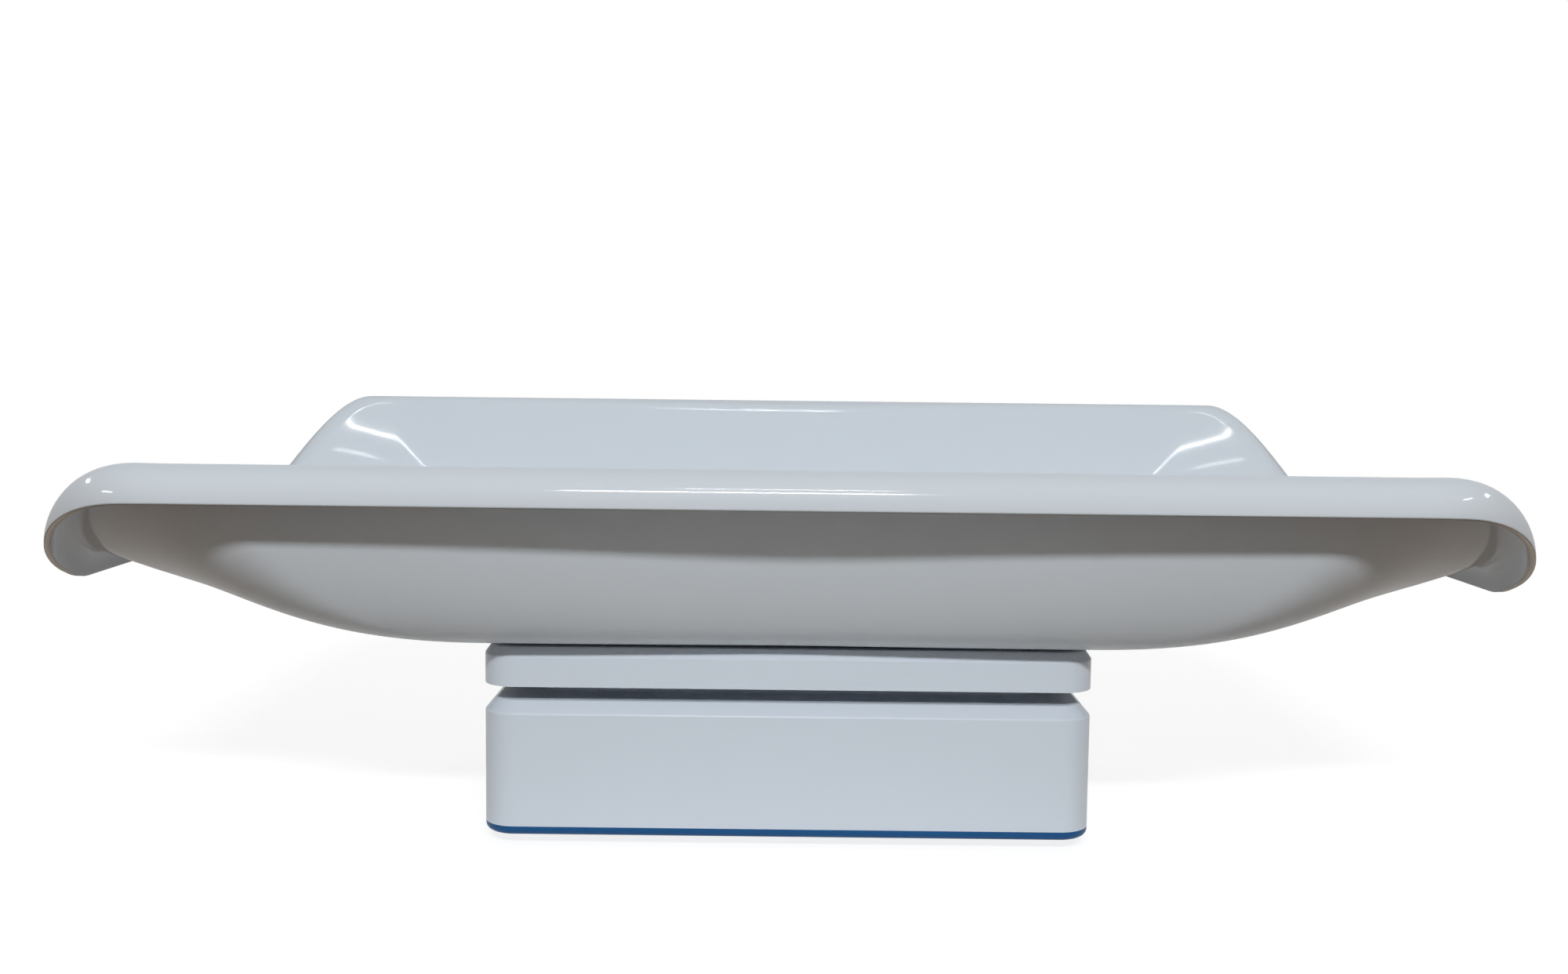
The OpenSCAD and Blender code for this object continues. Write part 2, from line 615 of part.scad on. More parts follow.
module base_pan() {
    tongue_w = inner_w - 2 * fit;
    tongue_d = inner_d - 2 * fit;
    tongue_r = base_r - cover_t - fit;
    color("steelblue") difference() {
        union() {
            difference() {
                edge_block(base_w, base_d, base_r, concat(round_edge(pan_edge_r, pan_z), [[0, parting_z]]));
                edge_block(tongue_w - 2 * tongue_t, tongue_d - 2 * tongue_t, tongue_r - tongue_t,
                    [[0, pan_floor_z], [0, parting_z + spill]]);
            }
            difference() {
                edge_block(tongue_w, tongue_d, tongue_r,
                    [[0, pan_floor_z - spill], [0, parting_z + tongue_h]]);
                edge_block(tongue_w - 2 * tongue_t, tongue_d - 2 * tongue_t, tongue_r - tongue_t,
                    [[0, pan_floor_z - 2 * spill], [0, parting_z + tongue_h + spill]]);
            }
            translate([-cell_screw_x - pedestal_l / 2, -pedestal_w / 2, pan_floor_z - spill])
                cube([pedestal_l, pedestal_w, pedestal_h + spill]);
            translate([cell_screw_x, 0, pan_floor_z - spill])
                cylinder(d = stop_boss_d, h = stop_boss_h + spill);
            translate([board_x, board_y, pan_floor_z - spill]) at_corners(board_holes[0], board_holes[1])
                cylinder(d = standoff_d, h = standoff_h + spill);
            at_corners(pillar_pitch[0], pillar_pitch[1]) translate([0, 0, pan_floor_z - spill])
                cylinder(d = pillar_d, h = spill + pillar_z - pan_floor_z);
            battery_cradle();
        }
        for (x = cell_screws(-1)) translate([x, 0, pan_z - spill]) {
            cylinder(d = m6[0] + 2 * screw_fit, h = cell_z);
            cylinder(d = m6[1] + 1, h = pan_counterbore + spill);
        }
        translate([cell_screw_x, 0, pan_z - spill]) cylinder(d = stop_d + 2 * screw_fit, h = cell_z);
        at_corners(foot_pitch[0], foot_pitch[1]) translate([0, 0, pan_z - spill]) {
            cylinder(d = foot_d + fit, h = foot_seat + spill);
            cylinder(d = foot_peg + 2 * screw_fit, h = pan_t + 2 * spill);
        }
        at_corners(pillar_pitch[0], pillar_pitch[1]) translate([0, 0, pan_z - spill]) {
            cylinder(d = m3[0] + 2 * screw_fit, h = cell_z);
            cylinder(d = m3[1] + 1, h = m3[2] + fit + spill);
        }
        translate([board_x, board_y, pan_floor_z + standoff_h - board_screw_l + board_t - spill])
            at_corners(board_holes[0], board_holes[1])
                cylinder(d = m3[0] + 2 * screw_fit, h = board_screw_l + spill);
        clamp_places() translate([0, 0, pan_z + spill]) cylinder(d = m3[0] + 2 * screw_fit, h = 2 * pan_t);
    }
}

// Low corner walls that keep the battery in place
module battery_cradle() {
    outer = [battery_l + 2 * fit + 2 * cradle_t, battery_w + 2 * fit + 2 * cradle_t];
    translate([battery_x, battery_y, pan_floor_z - spill]) difference() {
        translate([-outer[0] / 2, -outer[1] / 2, 0]) cube([outer[0], outer[1], cradle_h + spill]);
        translate([-battery_l / 2 - fit, -battery_w / 2 - fit, -spill])
            cube([battery_l + 2 * fit, battery_w + 2 * fit, cradle_h + 4 * spill]);
        translate([-outer[0], -battery_w / 4, spill]) cube([2 * outer[0], battery_w / 2, cradle_h + spill]);
        translate([-battery_l / 4, -outer[1], spill]) cube([battery_l / 2, 2 * outer[1], cradle_h + spill]);
    }
}

module rubber_feet() {
    color("dimgray") at_corners(foot_pitch[0], foot_pitch[1]) rotate_extrude() polygon(concat(
        [[0, 0]], [for (w = [0 : 30 : 90]) [foot_d / 2 - 1 + sin(w), 1 - cos(w)]],
        [[foot_d / 2, foot_h + foot_seat], [foot_peg / 2, foot_h + foot_seat],
         [foot_peg / 2, foot_h + pan_t], [0, foot_h + pan_t]]));
}

module cover_screws() {
    color("silver") at_corners(pillar_pitch[0], pillar_pitch[1])
        translate([0, 0, pan_z + m3[2] + fit]) screw_up(m3, cover_screw_l);
}

// ---------------------------------------------------------------- electronics
module main_board() {
    color("darkgreen") translate([board_x, board_y, pan_floor_z + standoff_h]) difference() {
        translate([-board_l / 2, -board_w / 2, 0]) cube([board_l, board_w, board_t]);
        at_corners(board_holes[0], board_holes[1]) translate([0, 0, -spill])
            cylinder(d = m3[0] + 2 * screw_fit, h = board_t + 2 * spill);
    }
}

// Chips, capacitors and plug headers: [x, y, length, width, height] from the board's middle
chips = [[-18, 8, 14, 14, 2], [8, 10, 10, 6, 2], [12, -6, 8, 5, 2], [-10, -12, 12, 8, 8.5]];
cans = [[24, 14], [26, 2], [-34, -8]];
can = [8, 10];           // diameter and height of a capacitor
headers = [[30, -16, 10, 6, 7], [-26, -20, 14, 6, 7], [-2, 22, 18, 5, 7]];

module board_parts() {
    color("black") translate([board_x, board_y, pan_floor_z + standoff_h + board_t]) {
        for (c = concat(chips, headers))
            translate([c[0] - c[2] / 2, c[1] - c[3] / 2, 0]) cube([c[2], c[3], c[4]]);
        for (c = cans) translate([c[0], c[1], 0]) cylinder(d = can[0], h = can[1]);
    }
}

display_board_inset = 18.5;          // distance of the upright board from the side walls
display_board_x = [display_board_inset - inner_w / 2, inner_w / 2 - display_board_inset];
display_board_z = [11.5, 48.5];

module display_board() {
    color("darkgreen") difference() {
        translate([display_board_x[0], display_board_y - board_t, display_board_z[0]])
            cube([display_board_x[1] - display_board_x[0], board_t,
                display_board_z[1] - display_board_z[0]]);
        for (p = display_boss)
            translate([p[0], display_board_y - board_t - spill, p[1]]) rotate([-90, 0, 0])
                cylinder(d = m3[0] + 2 * screw_fit, h = board_t + 2 * spill);
    }
}

module board_screws() {
    color("silver") {
        translate([board_x, board_y, pan_floor_z + standoff_h + board_t])
            at_corners(board_holes[0], board_holes[1]) screw_down(m3, board_screw_l);
        for (p = display_boss) translate([p[0], display_board_y - board_t, p[1]]) rotate([-90, 0, 0])
            screw_up(m3, board_screw_l);
    }
}

module display_module() {
    color("black") translate([window_x - window_w / 2 + window_frame + fit, display_board_y,
        panel_z - window_h / 2 + window_frame + fit])
        cube([window_w - 2 * window_frame - 2 * fit, panel_in_y - display_board_y - spill,
            window_h - 2 * window_frame - 2 * fit]);
}

module display_window() {
    color([0.3, 0.35, 0.4, 0.5]) translate([window_x, wall_y - window_t - fit, panel_z])
        panel_block(window_w - fit, window_h - fit, 3, window_t);
}

switch_w = 6;
switch_t = 3.5;
plunger_t = 1;
key_travel = 0.6;
plunger_gap = 0.1;

module tact_switches() {
    color("black") key_places() translate([0, display_board_y, 0]) {
        translate([-switch_w / 2, 0, -switch_w / 2]) cube([switch_w, switch_t, switch_w]);
        rotate([-90, 0, 0]) cylinder(d = switch_w / 2, h = switch_t + plunger_t);
    }
}

// One key: a cap through the wall, a flange that stops behind it and a stem for the switch
module key(sx, sz) {
    stem_y = display_board_y + switch_t + plunger_t + key_travel + plunger_gap;
    flange_y = panel_in_y - key_seat - key_flange;
    color("lightgray") translate([key_x + sx * key_pitch_x / 2, 0, panel_z + sz * key_pitch_z / 2]) {
        translate([0, flange_y, 0]) {
            panel_block(key_w, key_h, 2, wall_y + key_proud - flange_y - spill);
            panel_block(key_w - 1, key_h - 1, 1.5, wall_y + key_proud - flange_y);
            panel_block(key_w + 2 * key_flange_edge, key_h + 2 * key_flange_edge, 2, key_flange);
        }
        translate([0, stem_y, 0]) rotate([-90, 0, 0]) cylinder(d = 4, h = flange_y - stem_y + spill / 2);
    }
}

module key_power() { key(-1, 1); }
module key_tare() { key(1, 1); }
module key_hold() { key(-1, -1); }
module key_unit() { key(1, -1); }

// ---------------------------------------------------------------- switch and inlet
rocker_body = [19.2, 13];        // opening in the wall, along Y and Z
rocker_flange = [21.5, 15.5, 2];
rocker_depth = 14;
rocker_pocket = [17.4, 11.2, 9];
rocker_size = [15.8, 10.6];
rocker_pin_d = 2;
rocker_pivot_x = switch_wall_x - 0.5;
rocker_tilt = 8;

module switch_housing() {
    pocket_x = switch_wall_x - rocker_flange[2];
    color("black") translate([0, rocker_y, panel_z]) difference() {
        union() {
            translate([pocket_x, -rocker_body[0] / 2, -rocker_body[1] / 2])
                cube([rocker_depth, rocker_body[0], rocker_body[1]]);
            translate([pocket_x, -rocker_flange[0] / 2, -rocker_flange[1] / 2])
                cube([rocker_flange[2], rocker_flange[0], rocker_flange[1]]);
            for (y = [-6, 0, 6])
                translate([pocket_x + rocker_depth - spill, y - 0.4, -2.4]) cube([7 + spill, 0.8, 4.8]);
        }
        translate([pocket_x - spill, -rocker_pocket[0] / 2, -rocker_pocket[1] / 2])
            cube([rocker_pocket[2] + spill, rocker_pocket[0], rocker_pocket[1]]);
        translate([rocker_pivot_x, 0, 0])
            cylinder(d = rocker_pin_d + 2 * pin_fit, h = rocker_body[1] - spill / 2, center = true);
    }
}

module power_rocker() {
    cap_r = 22;          // radius of the hollowed cap
    cap_rise = 3.6;      // height of the cap's ends over the pivot
    cap_dip = 1.3;       // depth of the hollow in the middle
    color("red") translate([rocker_pivot_x, rocker_y, panel_z]) rotate([0, 0, rocker_tilt]) {
        difference() {
            translate([-cap_rise, -rocker_size[0] / 2, -rocker_size[1] / 2])
                cube([cap_rise + 3, rocker_size[0], rocker_size[1]]);
            translate([-cap_rise - cap_r + cap_dip, 0, 0])
                cylinder(r = cap_r, h = rocker_size[1] + 2 * spill, center = true, $fn = 96);
        }
        cylinder(d = rocker_pin_d, h = rocker_body[1] - 1, center = true);
    }
}

inlet_barrel = 11;
inlet_flange = [14, 1.6];
inlet_depth = 14;
nut_t = 2.5;

module charge_socket() {
    color("black") translate([switch_wall_x - inlet_flange[1], inlet_y, panel_z]) rotate([0, 90, 0]) {
        difference() {
            union() {
                cylinder(d = inlet_flange[0], h = inlet_flange[1]);
                cylinder(d = inlet_barrel, h = inlet_depth);
            }
            translate([0, 0, -spill]) cylinder(d = inlet_bore, h = inlet_depth - 3 + spill);
        }
        translate([0, 0, 1.5]) cylinder(d = 2, h = inlet_depth - 4);
    }
}

module socket_nut() {
    color("silver") translate([switch_wall_x + cover_t, inlet_y, panel_z]) rotate([0, 90, 0]) difference() {
        cylinder(d = 14 / cos(30), h = nut_t, $fn = 6);
        translate([0, 0, -spill]) cylinder(d = inlet_barrel + 2 * screw_fit, h = nut_t + 2 * spill);
    }
}

// ---------------------------------------------------------------- battery
module battery() {
    color("darkslategray") translate([battery_x - battery_l / 2, battery_y - battery_w / 2, pan_floor_z]) {
        cube([battery_l, battery_w, battery_h]);
        for (y = [12, battery_w - 12]) translate([-6, y - 2.4, battery_h - 6]) cube([7, 4.8, 0.8]);
    }
}

module clamp_places() {
    away = battery_w / 2 + strap_t + fit + strap_ear / 2;
    for (s = [-1, 1]) translate([battery_x, battery_y + s * away, 0]) children();
}

module battery_clamp() {
    half = battery_w / 2 + fit;
    color("silver") translate([battery_x, battery_y, pan_floor_z]) difference() {
        translate([-strap_w / 2, 0, 0]) rotate([90, 0, 90]) linear_extrude(strap_w) {
            for (s = [-1, 1]) {
                translate([s * (half + strap_t / 2) - strap_t / 2, 0])
                    square([strap_t, battery_h + fit + strap_t]);
                translate([s * (half + strap_t + strap_ear / 2 - spill / 2) - strap_ear / 2, 0])
                    square([strap_ear, strap_t]);
            }
            translate([-half - strap_t, battery_h + fit]) square([2 * half + 2 * strap_t, strap_t]);
        }
        translate([-battery_x, -battery_y, -spill]) clamp_places()
            cylinder(d = m3[0] + 2 * screw_fit, h = strap_t + 2 * spill);
    }
}

module clamp_screws() {
    color("dimgray") clamp_places() translate([0, 0, pan_floor_z + strap_t]) screw_down(m3, pan_t);
}

tray();
tray_pads();
platform_plate();
support_spider();
spider_screws();
upper_spacer();
cell_screws_upper();
load_cell();
gauge_covers();
lower_spacer();
cell_screws_lower();
overload_stop();
stop_nut();
base_cover();
base_pan();
rubber_feet();
cover_screws();
main_board();
board_parts();
display_board();
display_module();
display_window();
key_power();
key_tare();
key_hold();
key_unit();
tact_switches();
switch_housing();
power_rocker();
charge_socket();
socket_nut();
battery();
battery_clamp();
clamp_screws();
board_screws();
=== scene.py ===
import math
import bmesh
import bpy
import numpy as np
from mathutils import Matrix


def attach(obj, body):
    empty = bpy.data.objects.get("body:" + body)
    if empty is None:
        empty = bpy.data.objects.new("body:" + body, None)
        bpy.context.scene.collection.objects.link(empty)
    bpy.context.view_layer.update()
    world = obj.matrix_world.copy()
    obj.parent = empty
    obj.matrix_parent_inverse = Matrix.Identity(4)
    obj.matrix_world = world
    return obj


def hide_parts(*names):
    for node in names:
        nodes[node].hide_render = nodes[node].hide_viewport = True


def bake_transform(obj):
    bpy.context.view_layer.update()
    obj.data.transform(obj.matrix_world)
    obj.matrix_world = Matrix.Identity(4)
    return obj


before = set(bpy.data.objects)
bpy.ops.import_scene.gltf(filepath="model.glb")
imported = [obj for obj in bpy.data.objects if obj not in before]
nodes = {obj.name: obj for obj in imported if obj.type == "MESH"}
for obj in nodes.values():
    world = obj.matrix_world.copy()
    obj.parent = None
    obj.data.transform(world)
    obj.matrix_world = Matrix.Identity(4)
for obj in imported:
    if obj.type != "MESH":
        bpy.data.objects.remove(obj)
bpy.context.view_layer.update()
mm = 0.001


class Wire:
    # a socket that can be used in arithmetic: every operation adds a node
    def __init__(self, tree, socket):
        self.tree = tree
        self.socket = socket

    def add(self, kind, inputs=None, out=0, **settings):
        made = self.tree.nodes.new(kind)
        for name, value in settings.items():
            setattr(made, name, value)
        for name, value in (inputs or {}).items():
            target = made.inputs[name]
            if isinstance(value, Wire):
                self.tree.links.new(value.socket, target)
            else:
                target.default_value = value
        return Wire(self.tree, made.outputs[out])

    def math(self, operation, *values):
        return self.add("ShaderNodeMath", dict(enumerate(values)), operation=operation)

    def __add__(self, other):
        return self.math("ADD", self, other)

    def __rsub__(self, other):
        return self.math("SUBTRACT", other, self)

    def __mul__(self, other):
        return self.math("MULTIPLY", self, other)

    __radd__ = __add__
    __rmul__ = __mul__

    def smooth(self, low, high):
        # 0 below low, 1 above high, eased between
        eased = "SMOOTHSTEP"
        return self.add("ShaderNodeMapRange", {0: self, 1: low, 2: high}, interpolation_type=eased)

    def pick(self, dark, light):
        # a colour between dark and light, by this value
        return self.add("ShaderNodeMix", {0: self, 6: dark, 7: light}, out=2, data_type="RGBA")

    def feed(self, target):
        self.tree.links.new(self.socket, target)


def colour(rgb, scale=1.0):
    return (rgb[0] * scale, rgb[1] * scale, rgb[2] * scale, 1.0)


# slow clouds change the tone and the roughness of every finish, and a fine grain its normal
surface = dict(
    cloudScale=22.0, cloudDetail=2.0, toneRange=0.03, glossRange=0.2, darkest=0.55,
    grainDetail=1.0, grainStrength=0.5, coatRough=0.08,
)

# each finish: base colour, roughness, grain size and grain depth in metres, and where it has them
# metal, the strength of its own reflection (shine), clear coat, opacity (alpha), the pale colour of
# a painted highlight on a cut edge (edge), and the stretches in metres over which the coat loses a
# share of its gloss (dull)
finishes = {
    "trayPlastic": dict(
        rgb=(0.69, 0.745, 0.80), rough=0.08, grain=0.004, depth=0.0, shine=0.0, coat=0.3,
        # edge: a painted highlight on the cut edge, paler and warmer than the skin
        edge=(0.84, 0.82, 0.73), dull=dict(yFrom=-0.1, yTo=0.02, xFrom=0.15, xTo=0.19, share=0.7),
    ),
    "housingPlastic": dict(rgb=(0.64, 0.70, 0.775), rough=0.36, grain=0.0011, depth=0.00004),
    "bluePlastic": dict(rgb=(0.008, 0.082, 0.235), rough=0.4, shine=0.2, grain=0.0011, depth=0.00004),
    "rubberBlack": dict(rgb=(0.03, 0.03, 0.032), rough=0.75, grain=0.0015, depth=0.0001),
    "castAlloy": dict(rgb=(0.45, 0.46, 0.48), rough=0.5, metal=1.0, grain=0.002, depth=0.0001),
    "milledAlloy": dict(rgb=(0.62, 0.63, 0.65), rough=0.32, metal=1.0, grain=0.0008, depth=0.00003),
    "platedSteel": dict(rgb=(0.55, 0.55, 0.57), rough=0.3, metal=1.0, grain=0.001, depth=0.00001),
    "blackOxide": dict(rgb=(0.06, 0.06, 0.065), rough=0.4, metal=1.0, grain=0.001, depth=0.00001),
    "gaugeSealant": dict(rgb=(0.72, 0.7, 0.6), rough=0.45, grain=0.002, depth=0.00008),
    "circuitGreen": dict(rgb=(0.012, 0.12, 0.045), rough=0.35, grain=0.003, depth=0.00002),
    "blackMoulding": dict(rgb=(0.02, 0.02, 0.022), rough=0.45, grain=0.001, depth=0.00003),
    "displayFace": dict(rgb=(0.34, 0.4, 0.33), rough=0.3, grain=0.004, depth=0.0),
    "clearWindow": dict(rgb=(0.5, 0.53, 0.56), rough=0.08, grain=0.01, depth=0.0, alpha=0.22),
    "keyBlue": dict(rgb=(0.03, 0.13, 0.3), rough=0.45, grain=0.001, depth=0.00004),
    "batteryCase": dict(rgb=(0.05, 0.055, 0.065), rough=0.55, grain=0.0015, depth=0.00006),
    "lcdSegment": dict(rgb=(0.012, 0.014, 0.016), rough=0.4, grain=0.004, depth=0.0),
}


def makeFinish(name):
    # plastic, rubber or metal with a fine grain and a little variation in gloss
    spec, s = finishes[name], surface
    made = bpy.data.materials.new(name)
    made.use_nodes = True
    tree = made.node_tree
    shader = tree.nodes["Principled BSDF"]
    place = Wire(tree, tree.nodes.new("ShaderNodeTexCoord").outputs["Object"])
    cloud = place.add("ShaderNodeTexNoise", {
        "Vector": place, "Scale": s["cloudScale"], "Detail": s["cloudDetail"],
    })
    tone = 1 - s["toneRange"] / 2 + s["toneRange"] * cloud
    tint = tone.pick(colour(spec["rgb"], s["darkest"]), colour(spec["rgb"]))
    if "edge" in spec:
        # the cut edge is painted paler and warmer than its skin: a painted highlight where the edge
        # catches the light
        cut = place.add("ShaderNodeAttribute", out="Fac", attribute_name="cutEdgeHighlight")
        tint = cut.pick(tint, colour(spec["edge"]))
    tint.feed(shader.inputs["Base Color"])
    gloss = 1 - s["glossRange"] / 2 + s["glossRange"] * cloud
    (spec["rough"] * gloss).feed(shader.inputs["Roughness"])
    shader.inputs["Metallic"].default_value = spec.get("metal", 0.0)
    shader.inputs["Coat Weight"].default_value = spec.get("coat", 0.0)
    if "dull" in spec:
        # less gloss inside the two corners of the high wall
        dull = spec["dull"]
        deep = place.add("ShaderNodeSeparateXYZ", {0: place}, out="Y")
        aside = place.math("ABSOLUTE", place.add("ShaderNodeSeparateXYZ", {0: place}))
        corner = deep.smooth(dull["yFrom"], dull["yTo"]) * aside.smooth(dull["xFrom"], dull["xTo"])
        (spec["coat"] * (1 - dull["share"] * corner)).feed(shader.inputs["Coat Weight"])
    shader.inputs["Coat Roughness"].default_value = s["coatRough"]
    shader.inputs["Specular IOR Level"].default_value = spec.get("shine", 0.5)
    shader.inputs["Alpha"].default_value = spec.get("alpha", 1.0)
    if spec["depth"]:
        grain = place.add("ShaderNodeTexNoise", {
            "Vector": place, "Scale": 1 / spec["grain"], "Detail": s["grainDetail"],
        })
        bump = place.add("ShaderNodeBump", {
            "Height": grain, "Distance": spec["depth"], "Strength": s["grainStrength"],
        })
        bump.feed(shader.inputs["Normal"])
    return made


finish = {name: makeFinish(name) for name in finishes}

# which finish each CAD node wears
wears = {
    "tray": "trayPlastic", "tray_pads": "rubberBlack", "platform_plate": "housingPlastic",
    "support_spider": "castAlloy", "spider_screws": "platedSteel", "upper_spacer": "platedSteel",
    "cell_screws_upper": "blackOxide", "load_cell": "milledAlloy", "gauge_covers": "gaugeSealant",
    "lower_spacer": "platedSteel", "cell_screws_lower": "blackOxide", "overload_stop": "blackOxide",
    "stop_nut": "platedSteel", "base_cover": "housingPlastic", "base_pan": "bluePlastic",
    "rubber_feet": "rubberBlack", "cover_screws": "platedSteel", "main_board": "circuitGreen",
    "board_parts": "blackMoulding", "display_board": "circuitGreen",
    "display_module": "displayFace", "display_window": "clearWindow",
    "key_power": "keyBlue", "key_tare": "keyBlue",
    "key_hold": "keyBlue", "key_unit": "keyBlue", "tact_switches": "blackMoulding",
    "switch_housing": "blackMoulding", "power_rocker": "blackMoulding",
    "charge_socket": "blackMoulding", "socket_nut": "platedSteel", "battery": "batteryCase",
    "battery_clamp": "platedSteel", "clamp_screws": "platedSteel", "board_screws": "platedSteel",
}
for name, obj in nodes.items():
    obj.data.materials.clear()
    obj.data.materials.append(finish[wears[name]])
print("finishes:", len(finish), "on", len(nodes), "nodes")


def gridFaces(rows, cols):
    # quads between neighbouring rows; the last column meets the first
    r, c = np.meshgrid(np.arange(rows - 1), np.arange(cols), indexing="ij")
    n = (c + 1) % cols
    quads = np.stack([r * cols + c, (r + 1) * cols + c, (r + 1) * cols + n, r * cols + n], -1)
    return quads.reshape(-1, 4)


def putMesh(name, points, quads, loops, material, body):
    mesh = bpy.data.meshes.new(name)
    mesh.from_pydata(points.tolist(), [], quads.tolist() + [list(map(int, loop)) for loop in loops])
    mesh.update()
    mesh.polygons.foreach_set("use_smooth", [True] * len(mesh.polygons))
    obj = bpy.data.objects.new(name, mesh)
    bpy.context.scene.collection.objects.link(obj)
    mesh.materials.append(finish[material])
    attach(obj, body)
    return obj


# the tray's own sizes in mm, as the solid has them, and how finely each stretch is divided
tray = dict(
    length=545.8, depth=320, wall=2.0, lipSide=11.8, lipEnd=9, lipSideDrop=13, lipEndDrop=12.1,
    lipCornerDrop=1.8, rollRadius=8, rimRadius=57.5, floorLength=303, floorDepth=187,
    floorRadius=68, floorZ=78, nearHeight=67, farHeight=81.1, endHeight=29.9, nearStart=13.7,
    nearFall=91.9, nearEase=1.2, farStart=12.8, farFall=68.2, bowlSide=3.07, bowlEnd=1.91,
    sideSteps=26, cornerSteps=54, endSteps=30, lipSteps=22, rollSteps=12, wallSteps=44,
    edgeSteps=6, edgeBulge=0.55,
)


def smooth(x):
    # 0 below 0, 1 above 1, eased between
    c = np.clip(x, 0, 1)
    return c * c * (3 - 2 * c)


def rimQuarter(t):
    # middle of the long side to the middle of the end: rim point, run past the corner's
    # start, floor point and outward direction
    a = t["length"] / 2 - t["lipEnd"]
    b = t["depth"] / 2 - t["lipSide"]
    fa, fb = t["floorLength"] / 2, t["floorDepth"] / 2
    r, fr = t["rimRadius"], t["floorRadius"]
    u = np.arange(t["sideSteps"]) / t["sideSteps"]
    w = np.arange(t["cornerSteps"]) / t["cornerSteps"] * np.pi / 2
    v = np.arange(t["endSteps"] + 1) / t["endSteps"]
    s, c = np.sin(w), np.cos(w)
    side = np.stack([
        u * (a - r), 0 * u + b, (u - 1) * (a - r),
        u * (fa - fr), 0 * u + fb, 0 * u, 0 * u + 1,
    ], -1)
    corner = np.stack([
        a - r * (1 - s), b - r * (1 - c), r * w,
        fa - fr * (1 - s), fb - fr * (1 - c), s, c,
    ], -1)
    end = np.stack([
        0 * v + a, (1 - v) * (b - r), r * np.pi / 2 + v * (b - r),
        0 * v + fa, (1 - v) * (fb - fr), 0 * v + 1, 0 * v,
    ], -1)
    return np.concatenate([side, corner, end])


def wholeRim(t):
    # the quarter mirrored into four quadrants, once round from the middle of the low side
    quarter = rimQuarter(t)
    quadrants = ((1, -1), (1, 1), (-1, 1), (-1, -1))
    signs = [np.array([sx, sy, 1, sx, sy, sx, sy]) for sx, sy in quadrants]
    there, back = quarter[:-1], quarter[:0:-1]
    return np.concatenate([there * signs[0], back * signs[1], there * signs[2], back * signs[3]])


def traySkin(t, rim):
    # quarter ellipse of the lip, arc over the crest, then a power curve down to the floor
    low = rim[:, 1] < 0
    top = np.where(low, t["nearHeight"], t["farHeight"])
    start = np.where(low, t["nearStart"], t["farStart"])
    fall = np.where(low, t["nearFall"], t["farFall"])
    ease = np.where(low, t["nearEase"], 1)
    height = top - (top - t["endHeight"]) * smooth((rim[:, 2] - start) / fall) ** ease
    turned = np.clip(rim[:, 2] / (t["rimRadius"] * np.pi / 2), 0, 1)
    reach = t["lipSide"] + (t["lipEnd"] - t["lipSide"]) * smooth(turned)
    lipDrop = t["lipSideDrop"] + (t["lipEndDrop"] - t["lipSideDrop"]) * smooth(turned)
    lipDrop = lipDrop + t["lipCornerDrop"] * np.sin(np.pi * turned) ** 2
    bowl = t["bowlSide"] + (t["bowlEnd"] - t["bowlSide"]) * smooth(turned)
    across = rim[:, 3:5] - rim[:, 0:2]
    run = np.linalg.norm(across, axis=1)
    inward = across / run[:, None]
    lean = np.arctan(bowl * height / run)
    w = (np.pi / 2 * (1 - np.arange(t["lipSteps"]) / t["lipSteps"]))[:, None]
    lipXy = rim[None, :, 0:2] + (reach * np.sin(w))[:, :, None] * rim[None, :, 5:7]
    lipZ = height - lipDrop * (1 - np.cos(w))
    w = lean * (np.arange(t["rollSteps"]) / t["rollSteps"])[:, None]
    rollXy = rim[None, :, 0:2] + t["rollRadius"] * np.sin(w)[:, :, None] * inward
    rollZ = height - t["rollRadius"] * (1 - np.cos(w))
    rolled = t["rollRadius"] * np.sin(lean)
    drop = height - t["rollRadius"] * (1 - np.cos(lean))
    power = np.tan(lean) * (run - rolled) / drop
    v = (np.arange(t["wallSteps"] + 1) / t["wallSteps"])[:, None]
    wallXy = rim[None, :, 0:2] + (rolled + (run - rolled) * v)[:, :, None] * inward
    wallZ = drop * (1 - v) ** power
    xy = np.concatenate([lipXy, rollXy, wallXy])
    z = np.concatenate([lipZ, rollZ, wallZ]) + t["floorZ"]
    return np.concatenate([xy, z[:, :, None]], -1)


def skinNormals(skin):
    # cross product of the step round the rim and the step inward, straight up on the floor
    around = np.roll(skin, -1, 1) - np.roll(skin, 1, 1)
    inward = np.gradient(skin, axis=0)
    n = np.cross(around, inward)
    n[-1] = (0, 0, 1)
    return n / np.linalg.norm(n, axis=2)[:, :, None]


def makeTray(t):
    rim = wholeRim(t)
    skin = traySkin(t, rim)
    normal = skinNormals(skin)
    under = skin - t["wall"] * normal
    # half ellipse round the cut edge, from the upper skin to the under skin
    mid = (skin[0] + under[0]) / 2
    down = np.cross(normal[0], np.roll(skin[0], -1, 0) - np.roll(skin[0], 1, 0))
    down = down / np.linalg.norm(down, axis=1)[:, None]
    w = (np.pi * np.arange(1, t["edgeSteps"]) / t["edgeSteps"])[:, None, None]
    edge = mid + t["wall"] / 2 * (np.cos(w) * normal[0] + t["edgeBulge"] * np.sin(w) * down)
    rows = np.concatenate([skin[::-1], edge, under])
    count = len(rim)
    last = len(rows) - 1
    faces = gridFaces(len(rows), count)
    caps = [np.arange(count), last * count + np.arange(count)[::-1]]
    points = rows.reshape(-1, 3) * mm
    obj = putMesh("tray_fine", points, faces, caps, "trayPlastic", "tray_body")
    # 1 on the rows of the cut edge, which carry the painted highlight, 0 elsewhere
    atEdge = np.zeros((len(rows), count))
    atEdge[len(skin):len(skin) + len(edge)] = 1
    marks = obj.data.attributes.new("cutEdgeHighlight", "FLOAT", "POINT")
    marks.data.foreach_set("value", atEdge.ravel())
    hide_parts("tray")
    return obj


trayFine = makeTray(tray)
print("tray: faces", len(trayFine.data.polygons))
